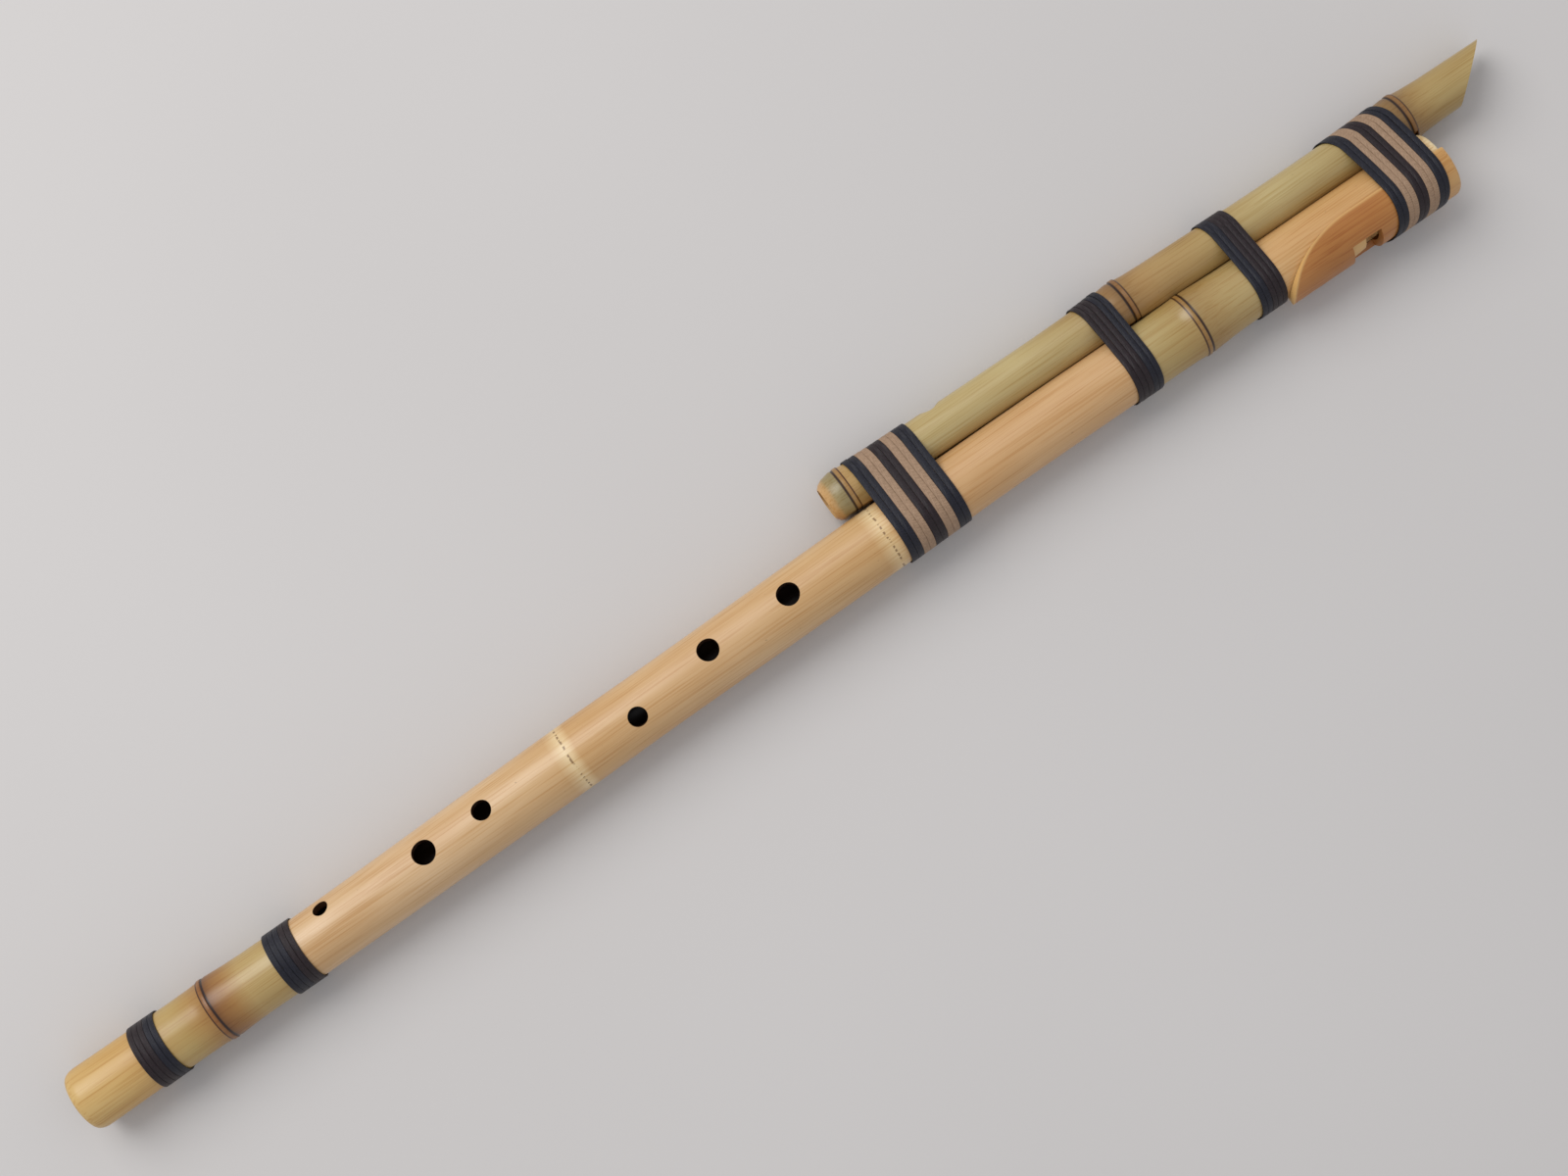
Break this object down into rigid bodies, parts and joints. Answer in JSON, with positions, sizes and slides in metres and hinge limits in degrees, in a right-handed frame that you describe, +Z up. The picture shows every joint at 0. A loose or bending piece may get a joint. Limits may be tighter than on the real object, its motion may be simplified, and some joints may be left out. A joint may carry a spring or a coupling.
{
  "type": "duct flute",
  "caption": "Long cane duct flute with a thinner cane blow tube laced beside its upper half, six finger holes and a window under a curved cane cover.",
  "frame": {"origin": "the middle of the flute's bounding box, on the flat surface that it lies on", "axes": "+X from the foot to the head along the main tube, +Y towards the blow tube, +Z up"},
  "size_m": [0.6816, 0.0522, 0.0301],
  "materials": {
    "scraped_cane": "satin",
    "orange_cane": "satin",
    "cane_with_skin": "satin",
    "stopper_wood": "matte",
    "navy_lace": "matte",
    "brown_lace": "matte",
    "tan_lace": "matte"
  },
  "bodies": {
    "root": {"main_tube": "scraped_cane", "windway_cover": "orange_cane", "blow_tube": "cane_with_skin", "fipple_block": "stopper_wood", "head_plug": "stopper_wood", "air_joint": "stopper_wood", "foot_binding_brown": "brown_lace", "foot_binding_navy": "navy_lace", "foot_joint_binding_navy": "navy_lace", "foot_joint_binding_brown": "brown_lace", "lower_binding_1_navy": "navy_lace", "lower_binding_2_tan": "tan_lace", "lower_binding_3_brown": "brown_lace", "lower_binding_4_tan": "tan_lace", "lower_binding_5_navy": "navy_lace", "middle_binding_brown": "brown_lace", "middle_binding_navy": "navy_lace", "nose_binding_navy": "navy_lace", "nose_binding_brown": "brown_lace", "upper_binding_1_navy": "navy_lace", "upper_binding_2_tan": "tan_lace", "upper_binding_3_brown": "brown_lace", "upper_binding_4_tan": "tan_lace", "upper_binding_5_navy": "navy_lace"}
  },
  "joints": []
}
